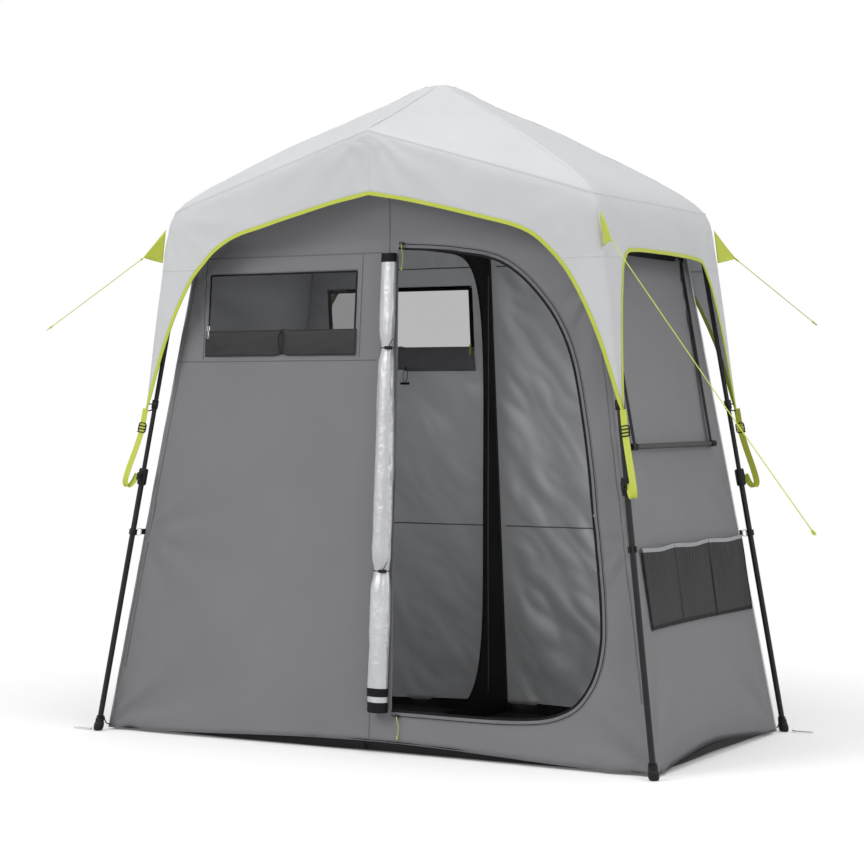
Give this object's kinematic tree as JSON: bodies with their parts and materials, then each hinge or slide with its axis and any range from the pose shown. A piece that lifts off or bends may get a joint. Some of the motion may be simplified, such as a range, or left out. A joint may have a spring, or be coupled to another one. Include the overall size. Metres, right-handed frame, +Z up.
{
  "type": "privacy shower tent",
  "caption": "Two-room pop-up privacy shower tent: folding steel frame with telescoping legs, pale canopy, grey walls, rolled door, windows, towel rail and guy lines.",
  "frame": {"origin": "on the ground under the middle of the roof", "axes": "+X to the right seen from the front, -Y out of the front with the door, +Z up"},
  "size_m": [3.0513, 2.2093, 2.271],
  "materials": {
    "frame_steel": "satin black powder coat",
    "moulded_black": "matte",
    "canopy_cloth": "coated woven cloth",
    "wall_cloth": "woven cloth with a silver coating inside",
    "dark_cloth": "woven cloth, mesh and webbing",
    "lime_webbing": "webbing and cord"
  },
  "bodies": {
    "tent": {"centre_hub": "moulded_black", "front_hub": "moulded_black", "back_hub": "moulded_black", "ridge_pole_front": "frame_steel", "ridge_pole_back": "frame_steel", "canopy": "canopy_cloth", "front_wall_left": "wall_cloth", "front_wall_right": "wall_cloth", "back_wall": "wall_cloth", "left_wall": "wall_cloth", "right_wall": "wall_cloth", "groundsheet": "dark_cloth", "divider": "dark_cloth", "door_roll": "wall_cloth", "mesh_organizer": "dark_cloth", "canopy_strap_front_left": "lime_webbing", "canopy_strap_front_right": "lime_webbing", "canopy_strap_back_left": "lime_webbing", "canopy_strap_back_right": "lime_webbing"},
    "roof_front_left": {"roof_pole_front_left": "frame_steel", "elbow_front_left": "moulded_black"},
    "upper_front_left": {"upper_leg_front_left": "frame_steel", "guy_tab_front_left": "lime_webbing", "guy_line_front_left": "lime_webbing"},
    "lower_front_left": {"lower_leg_front_left": "frame_steel", "leg_lock_front_left": "moulded_black", "foot_front_left": "moulded_black"},
    "button_front_left": {"lock_button_front_left": "moulded_black"},
    "roof_front_right": {"roof_pole_front_right": "frame_steel", "elbow_front_right": "moulded_black"},
    "upper_front_right": {"upper_leg_front_right": "frame_steel", "guy_tab_front_right": "lime_webbing", "guy_line_front_right": "lime_webbing"},
    "lower_front_right": {"lower_leg_front_right": "frame_steel", "leg_lock_front_right": "moulded_black", "foot_front_right": "moulded_black"},
    "button_front_right": {"lock_button_front_right": "moulded_black"},
    "roof_back_left": {"roof_pole_back_left": "frame_steel", "elbow_back_left": "moulded_black"},
    "upper_back_left": {"upper_leg_back_left": "frame_steel", "guy_tab_back_left": "lime_webbing"},
    "lower_back_left": {"lower_leg_back_left": "frame_steel", "leg_lock_back_left": "moulded_black", "foot_back_left": "moulded_black"},
    "button_back_left": {"lock_button_back_left": "moulded_black"},
    "roof_back_right": {"roof_pole_back_right": "frame_steel", "elbow_back_right": "moulded_black"},
    "upper_back_right": {"upper_leg_back_right": "frame_steel", "guy_tab_back_right": "lime_webbing", "guy_line_back_right": "lime_webbing"},
    "lower_back_right": {"lower_leg_back_right": "frame_steel", "leg_lock_back_right": "moulded_black", "foot_back_right": "moulded_black"},
    "button_back_right": {"lock_button_back_right": "moulded_black"},
    "rail_band": {"rail_patch": "dark_cloth"},
    "towel_rail": {"towel_bar": "frame_steel", "rail_strap_front": "dark_cloth", "rail_strap_back": "dark_cloth"},
    "zip_lower": {"zip_slider_lower": "moulded_black"},
    "zip_upper": {"zip_slider_upper": "moulded_black"}
  },
  "joints": [
    {"name": "frame_fold", "type": "hinge", "parent": "tent", "child": "roof_front_left", "pos_m": [-0.06, -0.485, 2.02], "axis": [0, -1, 0], "range_deg": [0, 71.5], "deforming": ["canopy", "front_wall_left", "front_wall_right", "back_wall", "left_wall", "right_wall", "groundsheet", "divider", "door_roll", "mesh_organizer", "canopy_strap_front_left", "canopy_strap_front_right", "canopy_strap_back_left", "canopy_strap_back_right"]},
    {"name": "elbow_hinge_front_left", "type": "hinge", "parent": "roof_front_left", "child": "upper_front_left", "pos_m": [-0.8, -0.4, 1.795], "axis": [0, 1, 0], "range_deg": [0, 63.1]},
    {"name": "leg_slide_front_left", "type": "slide", "parent": "upper_front_left", "child": "lower_front_left", "axis": [0.1454, 0.096, 0.9847], "range_m": [0, 0.576]},
    {"name": "button_press_front_left", "type": "slide", "parent": "lower_front_left", "child": "button_front_left", "axis": [-0.014, 0.9954, -0.095], "range_m": [0, 0.004], "stiffness_N_per_m": 300},
    {"name": "roof_hinge_front_right", "type": "hinge", "parent": "tent", "child": "roof_front_right", "pos_m": [0.06, -0.485, 2.02], "axis": [0, 1, 0], "range_deg": [0, 71.5]},
    {"name": "elbow_hinge_front_right", "type": "hinge", "parent": "roof_front_right", "child": "upper_front_right", "pos_m": [0.8, -0.4, 1.795], "axis": [0, -1, 0], "range_deg": [0, 63.1]},
    {"name": "leg_slide_front_right", "type": "slide", "parent": "upper_front_right", "child": "lower_front_right", "axis": [-0.1454, 0.096, 0.9847], "range_m": [0, 0.576]},
    {"name": "button_press_front_right", "type": "slide", "parent": "lower_front_right", "child": "button_front_right", "axis": [0.014, 0.9954, -0.095], "range_m": [0, 0.004], "stiffness_N_per_m": 300},
    {"name": "roof_hinge_back_left", "type": "hinge", "parent": "tent", "child": "roof_back_left", "pos_m": [-0.06, 0.485, 2.02], "axis": [0, -1, 0], "range_deg": [0, 71.5]},
    {"name": "elbow_hinge_back_left", "type": "hinge", "parent": "roof_back_left", "child": "upper_back_left", "pos_m": [-0.8, 0.4, 1.795], "axis": [0, 1, 0], "range_deg": [0, 63.1]},
    {"name": "leg_slide_back_left", "type": "slide", "parent": "upper_back_left", "child": "lower_back_left", "axis": [0.1454, -0.096, 0.9847], "range_m": [0, 0.576]},
    {"name": "button_press_back_left", "type": "slide", "parent": "lower_back_left", "child": "button_back_left", "axis": [-0.014, -0.9954, -0.095], "range_m": [0, 0.004], "stiffness_N_per_m": 300},
    {"name": "roof_hinge_back_right", "type": "hinge", "parent": "tent", "child": "roof_back_right", "pos_m": [0.06, 0.485, 2.02], "axis": [0, 1, 0], "range_deg": [0, 71.5]},
    {"name": "elbow_hinge_back_right", "type": "hinge", "parent": "roof_back_right", "child": "upper_back_right", "pos_m": [0.8, 0.4, 1.795], "axis": [0, -1, 0], "range_deg": [0, 63.1]},
    {"name": "leg_slide_back_right", "type": "slide", "parent": "upper_back_right", "child": "lower_back_right", "axis": [-0.1454, -0.096, 0.9847], "range_m": [0, 0.576]},
    {"name": "button_press_back_right", "type": "slide", "parent": "lower_back_right", "child": "button_back_right", "axis": [0.014, -0.9954, -0.095], "range_m": [0, 0.004], "stiffness_N_per_m": 300},
    {"name": "rail_carry", "type": "slide", "parent": "tent", "child": "rail_band", "axis": [-1, 0, 0], "range_m": [0, 0.725]},
    {"name": "rail_swing", "type": "hinge", "parent": "rail_band", "child": "towel_rail", "pos_m": [0.77456, 0, 1.645], "axis": [0, -1, 0], "range_deg": [0, 70]},
    {"name": "zip_lower_slide", "type": "slide", "parent": "tent", "child": "zip_lower", "axis": [1, 0, 0], "range_m": [0, 0.42]},
    {"name": "zip_upper_slide", "type": "slide", "parent": "tent", "child": "zip_upper", "axis": [0.9962, -0.0074, -0.0868], "range_m": [0, 0.18]}
  ],
  "couplings": [
    {"joint": "elbow_hinge_front_left", "follows": "frame_fold", "ratio": 0.88252},
    {"joint": "leg_slide_front_left", "follows": "frame_fold", "m_per_rad": 0.46157},
    {"joint": "roof_hinge_front_right", "follows": "frame_fold", "ratio": 1},
    {"joint": "elbow_hinge_front_right", "follows": "frame_fold", "ratio": 0.88252},
    {"joint": "leg_slide_front_right", "follows": "frame_fold", "m_per_rad": 0.46157},
    {"joint": "roof_hinge_back_left", "follows": "frame_fold", "ratio": 1},
    {"joint": "elbow_hinge_back_left", "follows": "frame_fold", "ratio": 0.88252},
    {"joint": "leg_slide_back_left", "follows": "frame_fold", "m_per_rad": 0.46157},
    {"joint": "roof_hinge_back_right", "follows": "frame_fold", "ratio": 1},
    {"joint": "elbow_hinge_back_right", "follows": "frame_fold", "ratio": 0.88252},
    {"joint": "leg_slide_back_right", "follows": "frame_fold", "m_per_rad": 0.46157},
    {"joint": "rail_carry", "follows": "frame_fold", "m_per_rad": 0.58097}
  ]
}
